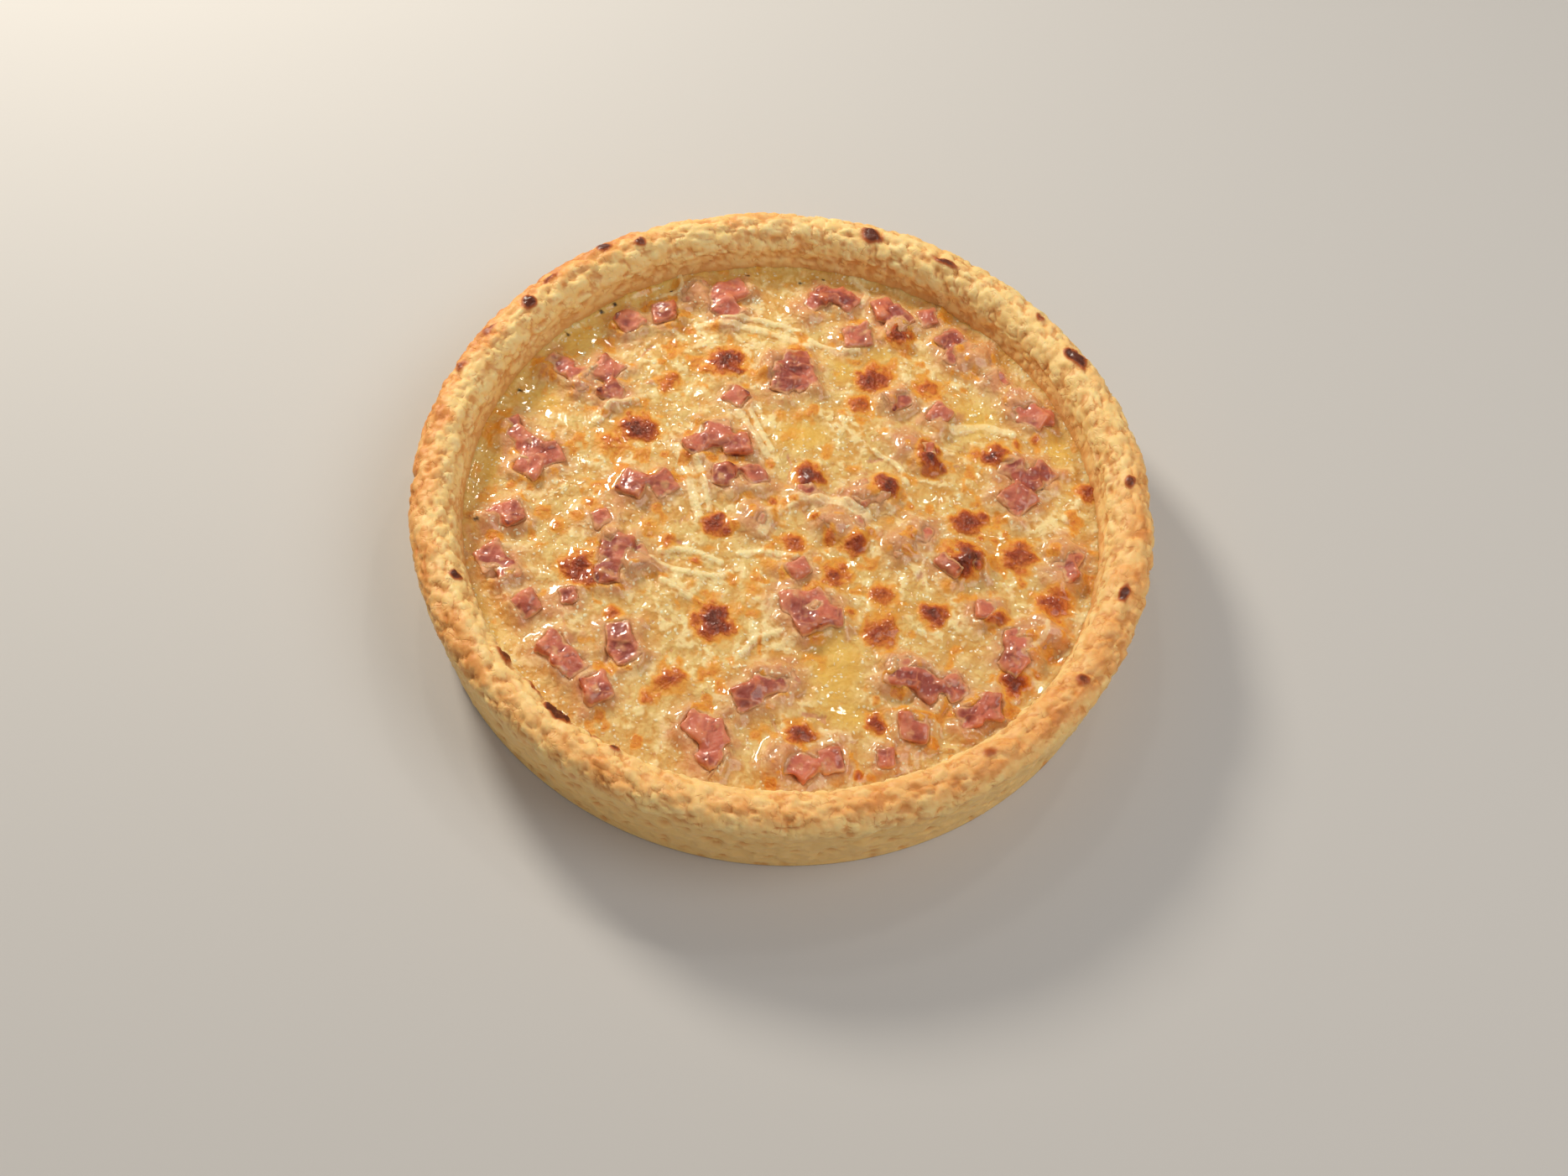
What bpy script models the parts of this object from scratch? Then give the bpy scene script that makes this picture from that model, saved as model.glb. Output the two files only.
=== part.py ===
"""A ham and cheese quiche: a shortcrust case, its set custard under melted cheese, and diced ham.

Sizes are in metres unless a name says otherwise. The quiche stands on its base, centred on the origin.
"""

import math
import random

import bmesh
import bpy
from mathutils import Euler, Vector, noise

# Pastry case
RIM_RADIUS = 0.120
CASE_HEIGHT = 0.036
RIM_WIDTH = 0.0145
RIM_ROLL = 0.0075
FLOOR_THICKNESS = 0.005
BASE_RADIUS = 0.1155
WALL_FOOT_RADIUS = 0.1175
FLOOR_RADIUS = 0.1000
FLOOR_CORNER_HEIGHT = 0.0095
CASE_STEPS = 96
RIM_ARC_STEPS = 7
OUTER_WALL_STEPS = 3

# Custard and cheese
FILLING_EDGE_HEIGHT = 0.0208
FILLING_RADIUS = 0.1050
FILLING_DOME = 0.0016
FILLING_LUMP = 0.0009
FILLING_LUMP_SPACING = 0.016
FILLING_GRID = 24
FIT_GAP = 0.0003
SLIVER = 0.00004

# Ham
DIE = 0.0090
DIE_SPREAD = 0.09
DIE_DEPTH_SHARE = 0.18
CORNER_JITTER = 0.05

MM = 0.001
SEED = 24

# Middles of the ham dice, in millimetres from the quiche's axis. Each row is one clump, and a third value is a die
# that is smaller or larger than usual.
HAM_CLUMPS = (
    ((-82, 47), (-75, 42), (-66.5, 47, 10), (-63, 38, 8)),
    ((-61.5, 69),),
    ((-49.5, 75),),
    ((-40.5, 87), (-33, 84.5), (-28, 80), (-27, 89.5)),
    ((-93, 18), (-86, 12.5), (-85.5, 4.5), (-78.5, 10.5, 8)),
    ((-41, 3), (-50, 1)),
    ((-25, 25.5, 10), (-31.5, 20, 8), (-17.5, 22)),
    ((-20.5, 8.5), (-11.5, 10.5, 8)),
    ((-20, 42.5, 8),),
    ((-7.5, 57), (-1.5, 60.5), (-5, 50), (2, 52)),
    ((5, 92), (12, 91), (1, 86.5, 7)),
    ((26.5, 89), (33, 85), (31.5, 79, 8)),
    ((18, 75),),
    ((43, 88, 7),),
    ((51, 79), (54, 71), (61, 72.5)),
    ((68, 63.5, 7),),
    ((76, 54.5), (82, 49), (85, 49.5, 7)),
    ((34, 48.5, 8.5),),
    ((48.5, 45, 8),),
    ((39, 31, 8), (45.5, 28, 8)),
    ((74.5, 27), (80, 21.5), (85, 26.5, 8), (77, 14.5, 10)),
    ((25, 8), (31.5, 9.5, 8)),
    ((7, 7, 7),),
    ((-94, -18), (-87.5, -15)),
    ((-91, -32.5), (-85.5, -37)),
    ((-76.5, -48),),
    ((-52, -24, 10), (-45.5, -28), (-53, -34)),
    ((-58.5, -12.5, 6.5),),
    ((-64, -43, 6.5),),
    ((-46, -55), (-43, -61)),
    ((-66, -61.5), (-60.5, -67.5)),
    ((-51, -75, 9),),
    ((-4, -71.5), (2, -66), (8, -64.5, 7)),
    ((-18.5, -83.5), (-12, -86), (-12.5, -93, 8)),
    ((-9, -6, 7.5),),
    ((17.5, -4.5, 8), (24, -5, 7)),
    ((45.5, -4.5, 7.5), (40, -9.5, 8)),
    ((57, -15), (63, -12, 8)),
    ((94, -5.5), (93.5, -13)),
    ((7, -36.5), (13.5, -34, 8), (12, -43), (19, -39.5, 8)),
    ((79.5, -41, 10), (78, -48), (87, -36, 9)),
    ((68, -31, 8),),
    ((43.5, -57.5, 11), (51.5, -61, 9), (59, -59.5, 8.5)),
    ((71, -65, 9), (65.5, -69.5, 8)),
    ((47.5, -75, 9.5),),
    ((40.5, -86, 6.5),),
    ((9.5, -91.5, 8), (15.5, -93, 8), (24, -89, 8)),
    ((7, -23.5, 7),),
)

# Browned blisters of cheese that stand up from the filling: middle x and y, and radius, in millimetres.
BLISTERS = (
    (-26, 59, 5.5),
    (-44, 46, 4.5),
    (-53, 24, 6),
    (25, 58, 5.5),
    (44, 58, 4.5),
    (67, 34, 5),
    (61, 3, 6),
    (-20.5, -12, 4.5),
    (-65, -30, 5.5),
    (-17, -45, 7),
    (-27, -68, 5),
    (25, -14, 5),
    (35, -41, 6),
    (52, -34, 5),
    (78, -7, 6),
    (78, -59, 4.5),
)

# Thick shreds of cheese lying on the top: the points that each passes through, in millimetres.
SHREDS = (
    ((-3, -5), (4, 0), (13, 3)),
    ((-36, 14), (-32, 4), (-28, -5)),
    ((-12, 33), (-9, 25), (-5, 18)),
    ((-38, -28), (-27, -31), (-16, -32)),
)
SHRED_RADIUS = 0.0013

# Beads of cheese burnt onto the rim: bearing from +X in degrees, radius from the axis and size in millimetres.
RIM_BEADS = (
    (206.2, 109.2, 2.8),
    (236.0, 108.2, 3.6),
    (247.7, 109.0, 2.6),
    (222.8, 108.2, 3.0),
    (80.2, 112.6, 3.8),
    (65.6, 111.7, 3.0),
    (45.6, 114.8, 2.8),
    (35.3, 114.2, 3.8),
    (346.4, 112.5, 3.2),
    (8.5, 112.4, 2.6),
    (308.5, 112.0, 2.8),
    (328.8, 113.7, 2.8),
    (129.1, 115.8, 3.0),
    (123.1, 110.6, 2.8),
    (140.6, 115.2, 3.0),
    (146.9, 112.9, 3.2),
    (154.9, 116.0, 3.0),
)


def clear_scene():
    for obj in list(bpy.data.objects):
        bpy.data.objects.remove(obj, do_unlink=True)


def new_collection(name):
    collection = bpy.data.collections.new(name)
    bpy.context.scene.collection.children.link(collection)
    return collection


def new_material(name, colour, roughness):
    made = bpy.data.materials.new(name)
    made.use_nodes = True
    shader = made.node_tree.nodes["Principled BSDF"]
    shader.inputs["Base Color"].default_value = (*colour, 1.0)
    shader.inputs["Roughness"].default_value = roughness
    shader.inputs["Metallic"].default_value = 0.0
    return made


def move_to(obj, collection):
    for old in list(obj.users_collection):
        old.objects.unlink(obj)
    collection.objects.link(obj)


def apply_modifiers(obj):
    """Makes the object's evaluated shape its own mesh."""
    graph = bpy.context.evaluated_depsgraph_get()
    mesh = bpy.data.meshes.new_from_object(obj.evaluated_get(graph))
    obj.modifiers.clear()
    old = obj.data
    obj.data = mesh
    bpy.data.meshes.remove(old)


def boolean_with(obj, collection, operation):
    cut = obj.modifiers.new(operation.title(), "BOOLEAN")
    cut.operation = operation
    cut.operand_type = "COLLECTION"
    cut.collection = collection
    cut.solver = "EXACT"
    return cut


def cut_to_triangles(obj):
    bm = bmesh.new()
    bm.from_mesh(obj.data)
    bmesh.ops.triangulate(bm, faces=bm.faces)
    bm.to_mesh(obj.data)
    bm.free()


def fuse(obj, collection):
    """Joins every object of the collection to obj, and removes them."""
    for piece in [obj, *collection.objects]:
        cut_to_triangles(piece)
    boolean_with(obj, collection, "UNION")
    apply_modifiers(obj)
    clean_mesh(obj)
    for piece in list(collection.objects):
        bpy.data.objects.remove(piece, do_unlink=True)
    bpy.data.collections.remove(collection)


def clean_mesh(obj):
    """Takes out slivers and cuts the faces into triangles, then keeps the largest part whose faces share edges."""
    bm = bmesh.new()
    bm.from_mesh(obj.data)
    bmesh.ops.remove_doubles(bm, verts=bm.verts, dist=SLIVER)
    bmesh.ops.dissolve_degenerate(bm, edges=bm.edges, dist=SLIVER)
    bmesh.ops.triangulate(bm, faces=bm.faces)
    waiting = set(bm.faces)
    islands = []
    while waiting:
        island = [waiting.pop()]
        for face in island:
            for edge in face.edges:
                near = [other for other in edge.link_faces if other in waiting]
                waiting.difference_update(near)
                island.extend(near)
        islands.append(island)
    islands.sort(key=len)
    scraps = [face for island in islands[:-1] for face in island]
    bmesh.ops.delete(bm, geom=scraps, context="FACES")
    bm.to_mesh(obj.data)
    bm.free()


def inner_wall_radius(height):
    """The inside of the case: a sloped corner at the floor, then a wall that leans out a little."""
    rim_foot = CASE_HEIGHT - RIM_ROLL
    stops = (
        (FLOOR_THICKNESS, FLOOR_RADIUS),
        (FLOOR_CORNER_HEIGHT, FLOOR_RADIUS + 0.0040),
        (FILLING_EDGE_HEIGHT, FILLING_RADIUS),
        (rim_foot, RIM_RADIUS - RIM_WIDTH),
    )
    for (low, low_radius), (high, high_radius) in zip(stops, stops[1:]):
        if height <= high:
            share = (height - low) / (high - low)
            return low_radius + share * (high_radius - low_radius)
    return stops[-1][1]


def case_profile():
    """Half section of the case: floor, inside, over the rim, down the outside and under the base, with the share of
    the crust's relief that each point takes."""
    rim_foot = CASE_HEIGHT - RIM_ROLL
    middle = RIM_RADIUS - RIM_WIDTH / 2
    points = [(0.0, FLOOR_THICKNESS, 0.0)]
    for height in (FLOOR_THICKNESS, FLOOR_CORNER_HEIGHT, FILLING_EDGE_HEIGHT):
        points.append((inner_wall_radius(height), height, 0.0))
    for step in range(RIM_ARC_STEPS + 1):
        angle = math.pi * (1 - step / RIM_ARC_STEPS)
        radius = middle + RIM_WIDTH / 2 * math.cos(angle)
        points.append((radius, rim_foot + RIM_ROLL * math.sin(angle), 1.0))
    for step in range(1, OUTER_WALL_STEPS + 1):
        share = step / OUTER_WALL_STEPS
        height = rim_foot * (1 - share) + 0.0035 * share
        radius = RIM_RADIUS * (1 - share) + WALL_FOOT_RADIUS * share
        points.append((radius, height, 0.7 - 0.5 * share))
    points.append((BASE_RADIUS, 0.0, 0.0))
    points.append((0.0, 0.0, 0.0))
    return points


def add_displacement(obj, name, kind, scale, strength, direction="NORMAL"):
    texture = bpy.data.textures.new(name, kind)
    texture.noise_scale = scale
    relief = obj.modifiers.new(name, "DISPLACE")
    relief.texture = texture
    relief.texture_coords = "LOCAL"
    relief.direction = direction
    relief.vertex_group = "relief"
    relief.strength = strength
    relief.mid_level = 0.5


def add_bead(collection, bearing, radius, size):
    """A flattened drop of burnt cheese on top of the rim."""
    middle = RIM_RADIUS - RIM_WIDTH / 2
    lean = (radius - middle) / (RIM_WIDTH / 2)
    height = CASE_HEIGHT - RIM_ROLL + RIM_ROLL * math.sqrt(max(0.0, 1 - lean * lean))
    angle = math.radians(bearing)
    bpy.ops.mesh.primitive_ico_sphere_add(
        subdivisions=1,
        radius=size,
        location=(radius * math.cos(angle), radius * math.sin(angle), height - 0.1 * size),
        rotation=(0, 0, angle),
    )
    bead = bpy.context.object
    bead.scale = (0.75, 1.0, 0.55)
    move_to(bead, collection)


def make_crust(parts, material):
    points = case_profile()
    mesh = bpy.data.meshes.new("crust")
    mesh.from_pydata(
        [(radius, 0.0, height) for radius, height, _ in points],
        [(i, i + 1) for i in range(len(points) - 1)],
        [],
    )
    crust = bpy.data.objects.new("crust", mesh)
    parts.objects.link(crust)
    relief = crust.vertex_groups.new(name="relief")
    for index, (_, _, share) in enumerate(points):
        relief.add([index], share, "REPLACE")
    turn = crust.modifiers.new("Turn", "SCREW")
    turn.steps = turn.render_steps = CASE_STEPS
    turn.use_merge_vertices = True
    turn.merge_threshold = 0.00005
    turn.use_smooth_shade = False
    add_displacement(crust, "Lumps", "CLOUDS", 0.012, 0.0034)
    add_displacement(crust, "Pebbles", "VORONOI", 0.007, 0.0016)
    add_displacement(crust, "Wander", "CLOUDS", 0.045, 0.0030, "Z")
    apply_modifiers(crust)
    beads = new_collection("Rim beads")
    for bearing, radius, size in RIM_BEADS:
        add_bead(beads, bearing, radius * MM, size * MM)
    fuse(crust, beads)
    crust.data.materials.clear()
    crust.data.materials.append(material)
    return crust


def filling_height(x, y):
    """Height of the cheese: a low dome with soft lumps that fade out at the edge."""
    share = min(1.0, math.hypot(x, y) / FILLING_RADIUS)
    place = Vector((x, y, 0.0)) / FILLING_LUMP_SPACING
    lumps = FILLING_LUMP * noise.fractal(place, 1.0, 2.0, 2)
    return FILLING_EDGE_HEIGHT + FILLING_DOME * (1 - share**2) + lumps * (1 - share**6)


def add_blister(collection, draw, x, y, radius):
    bpy.ops.mesh.primitive_ico_sphere_add(
        subdivisions=2,
        radius=radius,
        location=(x, y, filling_height(x, y) - 0.1 * radius),
        rotation=(0, 0, draw.uniform(0, math.tau)),
    )
    blister = bpy.context.object
    blister.scale = (1.0, draw.uniform(0.7, 0.95), 0.36)
    move_to(blister, collection)


def add_shred(collection, points):
    """A soft thread of cheese, half sunk into the top."""
    curve = bpy.data.curves.new("shred", "CURVE")
    curve.dimensions = "3D"
    curve.bevel_depth = SHRED_RADIUS
    curve.bevel_resolution = 1
    curve.use_fill_caps = True
    line = curve.splines.new("POLY")
    line.points.add(len(points) - 1)
    for point, (x, y) in zip(line.points, points):
        point.co = (x * MM, y * MM, filling_height(x * MM, y * MM) + 0.0003, 1.0)
    guide = bpy.data.objects.new("shred", curve)
    bpy.context.scene.collection.objects.link(guide)
    graph = bpy.context.evaluated_depsgraph_get()
    mesh = bpy.data.meshes.new_from_object(guide.evaluated_get(graph))
    bpy.data.objects.remove(guide, do_unlink=True)
    bm = bmesh.new()
    bm.from_mesh(mesh)
    bmesh.ops.remove_doubles(bm, verts=bm.verts, dist=0.00002)
    bm.to_mesh(mesh)
    bm.free()
    collection.objects.link(bpy.data.objects.new("shred", mesh))


def make_filling(parts, material):
    """A disc of quads for the top, drawn down to the case's floor, with the blisters and shreds fused on."""
    radius = FILLING_RADIUS - FIT_GAP
    bpy.ops.mesh.primitive_circle_add(vertices=4 * FILLING_GRID, radius=radius)
    filling = bpy.context.object
    filling.name = "filling"
    filling.data.name = "filling"
    move_to(filling, parts)
    bpy.ops.object.mode_set(mode="EDIT")
    bpy.ops.mesh.select_all(action="SELECT")
    bpy.ops.mesh.fill_grid(span=FILLING_GRID, use_interp_simple=True)
    bpy.ops.object.mode_set(mode="OBJECT")
    bm = bmesh.new()
    bm.from_mesh(filling.data)
    for vert in bm.verts:
        vert.co.z = filling_height(vert.co.x, vert.co.y)
    rim = [edge for edge in bm.edges if edge.is_boundary]
    for height in (FLOOR_CORNER_HEIGHT, FLOOR_THICKNESS + FIT_GAP):
        made = bmesh.ops.extrude_edge_only(bm, edges=rim)["geom"]
        rim = [item for item in made if isinstance(item, bmesh.types.BMEdge) and item.is_boundary]
        ring = {vert for edge in rim for vert in edge.verts}
        for vert in ring:
            flat = Vector((vert.co.x, vert.co.y)).normalized() * (inner_wall_radius(height) - FIT_GAP)
            vert.co = (flat.x, flat.y, height)
    bmesh.ops.contextual_create(bm, geom=rim)
    bmesh.ops.recalc_face_normals(bm, faces=bm.faces)
    bm.to_mesh(filling.data)
    bm.free()
    relief = new_collection("Cheese relief")
    draw = random.Random(SEED)
    for x, y, size in BLISTERS:
        add_blister(relief, draw, x * MM, y * MM, size * MM)
    for points in SHREDS:
        add_shred(relief, points)
    fuse(filling, relief)
    filling.data.materials.clear()
    filling.data.materials.append(material)
    return filling


def add_block(name, place, turn, size, corners):
    """A box with its corners pushed a little out of true, as diced ham is."""
    bpy.ops.mesh.primitive_cube_add(size=1.0, location=place, rotation=turn)
    block = bpy.context.object
    block.name = name
    block.data.name = name
    for vert, push in zip(block.data.vertices, corners):
        vert.co = Vector([(side + shift) * length for side, shift, length in zip(vert.co, push, size)])
    return block


def make_clump(index, dice, parts, cutters, material):
    """One clump of ham as one solid, and a cutter a gap larger for the pocket that each die sits in."""
    name = f"ham_{index:02d}"
    others = new_collection("Dice")
    draw = random.Random(100 * SEED + index)
    clump = None
    for die in dice:
        x, y = die[0] * MM, die[1] * MM
        edge = die[2] * MM if len(die) > 2 else DIE
        size = Vector([edge * draw.uniform(1 - DIE_SPREAD, 1 + DIE_SPREAD) for _ in range(3)])
        place = Vector((x, y, filling_height(x, y) - DIE_DEPTH_SHARE * size.z))
        turn = Euler((draw.uniform(-0.22, 0.22), draw.uniform(-0.22, 0.22), draw.uniform(0, math.pi / 2)))
        corners = [[draw.uniform(-CORNER_JITTER, CORNER_JITTER) for _ in range(3)] for _ in range(8)]
        block = add_block(name, place, turn, size, corners)
        move_to(block, others if clump else parts)
        clump = clump or block
        grown = size + Vector((2, 2, 2)) * FIT_GAP
        cutter = add_block("pocket", place, turn, grown, corners)
        cutter.hide_render = True
        cutter.display_type = "WIRE"
        cut_to_triangles(cutter)
        move_to(cutter, cutters)
    fuse(clump, others)
    clump.data.materials.clear()
    clump.data.materials.append(material)


def main():
    clear_scene()
    parts = new_collection("Quiche")
    pastry = new_material("pastry", (0.80, 0.58, 0.30), 0.75)
    cheese = new_material("cheese", (0.86, 0.68, 0.32), 0.35)
    ham = new_material("ham", (0.72, 0.36, 0.31), 0.45)
    make_crust(parts, pastry)
    filling = make_filling(parts, cheese)
    cutters = new_collection("Pockets")
    for index, dice in enumerate(HAM_CLUMPS, start=1):
        make_clump(index, dice, parts, cutters, ham)
    boolean_with(filling, cutters, "DIFFERENCE")
    apply_modifiers(filling)
    clean_mesh(filling)


main()
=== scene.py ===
"""A ham and cheese quiche: baked shortcrust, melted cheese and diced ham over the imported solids."""

import itertools
import math

import bpy
import numpy as np
from bpy.props import FloatProperty, FloatVectorProperty, IntProperty, PointerProperty
from mathutils import Matrix, Vector, noise
from mathutils.bvhtree import BVHTree


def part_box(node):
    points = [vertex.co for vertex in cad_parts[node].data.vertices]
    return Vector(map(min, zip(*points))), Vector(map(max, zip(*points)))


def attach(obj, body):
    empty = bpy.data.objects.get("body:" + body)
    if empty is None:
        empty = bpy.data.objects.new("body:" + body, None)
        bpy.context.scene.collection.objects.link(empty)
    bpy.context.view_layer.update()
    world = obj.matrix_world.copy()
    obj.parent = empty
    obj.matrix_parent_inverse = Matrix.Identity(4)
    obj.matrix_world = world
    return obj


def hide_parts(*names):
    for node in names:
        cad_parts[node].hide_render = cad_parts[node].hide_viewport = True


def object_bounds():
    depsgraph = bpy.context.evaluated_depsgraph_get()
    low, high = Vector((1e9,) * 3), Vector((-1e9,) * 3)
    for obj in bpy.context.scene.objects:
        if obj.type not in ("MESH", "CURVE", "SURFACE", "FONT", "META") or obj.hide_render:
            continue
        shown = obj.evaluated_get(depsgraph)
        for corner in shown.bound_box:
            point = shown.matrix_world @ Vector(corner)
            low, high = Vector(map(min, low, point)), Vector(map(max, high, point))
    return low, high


bl_info = {
    "name": "Ham and cheese quiche",
    "version": (1, 0, 0),
    "blender": (4, 5, 0),
    "location": "View3D > Sidebar > Quiche",
    "description": "Models a baked quiche with a shortcrust case, melted cheese and diced ham",
    "category": "Add Mesh",
}

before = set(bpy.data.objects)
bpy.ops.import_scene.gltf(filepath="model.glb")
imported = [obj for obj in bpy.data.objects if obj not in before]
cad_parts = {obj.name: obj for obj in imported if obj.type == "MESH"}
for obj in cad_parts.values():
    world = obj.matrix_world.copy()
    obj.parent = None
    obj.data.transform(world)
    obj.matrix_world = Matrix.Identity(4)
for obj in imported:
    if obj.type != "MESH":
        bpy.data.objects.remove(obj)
CAD_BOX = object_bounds()
HAM_NODES = sorted(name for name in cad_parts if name.startswith("ham_"))

MM = 0.001

# The inside of the case in metres: its floor's height, how far in that starts, and each step's lean.
CASE_FLOOR = 0.0052
FLOOR_INSET = 0.0045
INNER_LEAN = 0.00003
# How many steps go down the inside from the rim.
INNER_STEPS = 16
# Points closer than this, in metres, are at the same place.
TOUCHING = 0.00002

# The middle of the wall in mm, and how far the rim's section runs to the top of each wall.
WALL_RADIUS = 116
RIM_SECTION = 11.4

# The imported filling's soft lumps: how far apart and how high in mm.
LUMP_SPACING = 16
LUMP_HEIGHT = 0.9

# Grated cheese: how many short shreds, and how far out in mm they are scattered.
SHRED_COUNT = 420
SHRED_SPREAD = 104

# The cheese's hidden side: how far it goes straight down in metres, and its width below against above.
CHEESE_DEPTH = 0.008
CHEESE_TAPER = 0.95

# The level of the cheese beside the ham, and how far from a clump the cheese still changes, in mm.
CHEESE_TOP = 21.5
HAM_MARGIN = 8

# Rounds of averaging that take the corners off the dice, and then more that show where the corners were.
HAM_ROUNDING = 7
HAM_SOFTENING = 14

# Where the rim has browned most: bearing in degrees, distance from the axis, length along the rim and width
# in mm, and how dark.
RIM_SPOTS = (
    (80.2, 112.6, 9.0, 5.0, 1.0), (65.6, 112.0, 10.0, 3.2, 0.85), (45.6, 115.0, 5.0, 3.2, 0.7),
    (35.3, 114.2, 10.0, 5.0, 0.95), (8.5, 112.4, 4.5, 3.5, 0.75), (346.4, 112.5, 6.5, 3.6, 0.9),
    (328.8, 113.7, 5.0, 3.8, 0.7), (308.5, 112.0, 5.0, 3.4, 0.55), (129.1, 115.8, 5.5, 3.4, 0.95),
    (123.1, 112.6, 5.0, 3.2, 0.85), (140.6, 115.2, 7.0, 3.0, 0.75), (146.9, 112.9, 5.5, 5.0, 1.0),
    (154.9, 116.6, 7.0, 3.2, 0.7), (164.2, 116.7, 5.5, 3.4, 0.7), (206.2, 109.2, 4.2, 3.4, 1.3),
    (222.8, 107.4, 7.0, 3.0, 0.8), (236.0, 107.4, 7.5, 4.6, 1.35), (247.7, 108.3, 5.0, 2.4, 0.8),
    (230.0, 104.9, 9.0, 2.0, 0.5), (243.0, 104.6, 15.0, 2.4, 0.85), (254.6, 104.6, 14.0, 2.4, 0.8),
)

# Browned blisters on the cheese: x and y in mm, radius, and how dark from 0 to 1.
BLISTERS = (
    (-26, 58, 6.5, 1.0), (-32, 54, 3.0, 0.5), (-44, 46, 4.6, 0.62), (-52, 25, 6.2, 1.0),
    (-59, 19, 6.0, 0.5), (-32, 72, 2.6, 0.35), (-12, 72, 2.2, 0.3), (-2, 64, 4.0, 0.55),
    (0, 38, 3.0, 0.35), (-5, 37, 2.4, 0.3), (-4, 2, 2.6, 0.6), (-33, 16, 2.2, 0.6),
    (25, 58, 5.6, 0.95), (25, 63, 3.0, 0.6), (44, 57, 5.0, 0.65), (22, 46, 4.2, 0.65),
    (33, 78, 4.6, 0.95), (47, 25, 4.8, 1.0), (45, 31, 3.0, 0.62), (68, 31, 4.6, 1.0),
    (63, 31, 4.0, 0.45), (62, 3, 6.0, 0.9), (7, 13, 4.8, 1.0), (33, 12, 5.0, 0.95),
    (22, 20, 2.5, 0.4), (101, 21, 4.0, 0.75), (82, 40, 2.0, 0.6), (76, 37, 2.0, 0.6),
    (-63, -32, 6.0, 0.97), (-57, -36, 3.0, 0.9), (-21, -10, 4.8, 1.05), (-17, -45, 6.8, 1.05),
    (-28, -68, 5.4, 0.7), (-35, -75, 3.2, 0.6), (-49, -48, 3.0, 0.6), (-36, -19, 3.0, 0.5),
    (-26, -24, 2.0, 0.5), (-7, -34, 4.2, 0.35), (-26, -33, 2.5, 0.3), (-63, -8, 3.0, 0.5),
    (-72, -17, 3.0, 0.4), (-42, -13, 4.2, 0.38), (-16, -62, 3.0, 0.35), (24, -12, 4.2, 0.85),
    (17, -10, 3.0, 0.6), (5, -14, 4.4, 0.65), (61, -13, 6.2, 1.1), (78, -8, 6.2, 0.75),
    (20, -24, 5.0, 0.7), (35, -29, 4.4, 0.65), (52, -34, 4.4, 1.0), (35, -41, 6.4, 0.78),
    (72, -33, 3.6, 0.9), (90, -24, 6.0, 0.75), (78, -55, 4.4, 0.95), (36, -74, 3.8, 0.85),
    (13, -82, 4.2, 0.92), (15, -48, 3.0, 0.4), (25, -37, 2.5, 0.5), (56, -23, 3.0, 0.3),
    (10, -3, 2.2, 0.6), (33, -93, 1.8, 0.7), (-2, -22, 3.0, 0.3),
)

# Smooth patches where the custard shows yellow through the cheese: x, y, width and depth in mm.
YELLOW_PATCHES = (
    (-78, 60, 9, 9), (-86, 33, 10, 6), (3, 30, 10, 7), (-97, 3, 4, 8),
    (60, 46, 10, 8), (25, 69, 9, 4), (14, 60, 5, 6), (22, -57, 9, 17),
    (28, -73, 7, 6), (90, 40, 6, 10), (-50, 92, 9, 5),
)

# Dark specks of pepper: x and y in mm.
PEPPER = ((-49, 87), (-68, 78), (-72, 74), (-82, 62), (-94, 36), (-23, 98), (-4, 98), (4, 101), (-98, -20))

# Shreds of cheese that keep their shape: half width in mm, then the points that each passes through.
SHREDS = (
    (1.0, (-19, 36), (-14, 29), (-8, 20)),
    (0.8, (-15, 37), (-11, 30), (-6, 22)),
    (1.1, (-38, 19), (-34, 10), (-30, 0), (-27, -8)),
    (0.8, (-32, 16), (-28, 8), (-24, -4)),
    (1.6, (-6, -11), (-4, -4), (2, 2), (10, 4.5), (19, 4), (27, 0)),
    (0.8, (-40, -26), (-29, -29), (-16, -29)),
    (0.8, (-38, -22), (-28, -21), (-18, -24)),
    (0.7, (-36, -33), (-26, -38), (-20, -41)),
    (0.9, (-12, -20), (-2, -18), (6, -19)),
    (1.0, (-38, 72), (-24, 74), (-8, 72), (2, 69)),
    (0.8, (-30, 76), (-16, 78), (-2, 75)),
    (1.3, (54, 40), (64, 43), (74, 41)),
    (0.8, (93, 9), (97, 15), (99, 23)),
    (0.9, (84, -42), (87, -38), (88, -33)),
    (0.8, (2, 72), (12, 68), (19, 69)),
    (0.8, (-52, 84), (-46, 88), (-47, 94)),
    (0.9, (14, 103), (20, 97), (19, 91)),
    (0.8, (-66, 26), (-62, 33), (-54, 36)),
    (0.7, (28, 27), (36, 22), (40, 16)),
    (0.7, (-8, -56), (-3, -50), (4, -47)),
)

# The studio's lamps, which all point at the quiche: name, place and width in metres, power and colour.
LIGHTS = (
    ("window", (-0.56, 0.62, 0.56), 0.22, 7.6, (1.0, 0.93, 0.8)),
    ("overhead", (0.85, -0.1, 1.15), 0.9, 6, (1.0, 0.97, 0.92)),
    ("spark_left", (-0.3, 1.0, 1.25), 0.12, 1.2, (1.0, 0.95, 0.85)),
    ("spark_right", (0.42, 0.88, 1.3), 0.12, 1.2, (1.0, 0.95, 0.85)),
    ("fill", (0.4, -1.2, 0.7), 1.2, 2.4, (1.0, 0.93, 0.85)),
)


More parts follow.
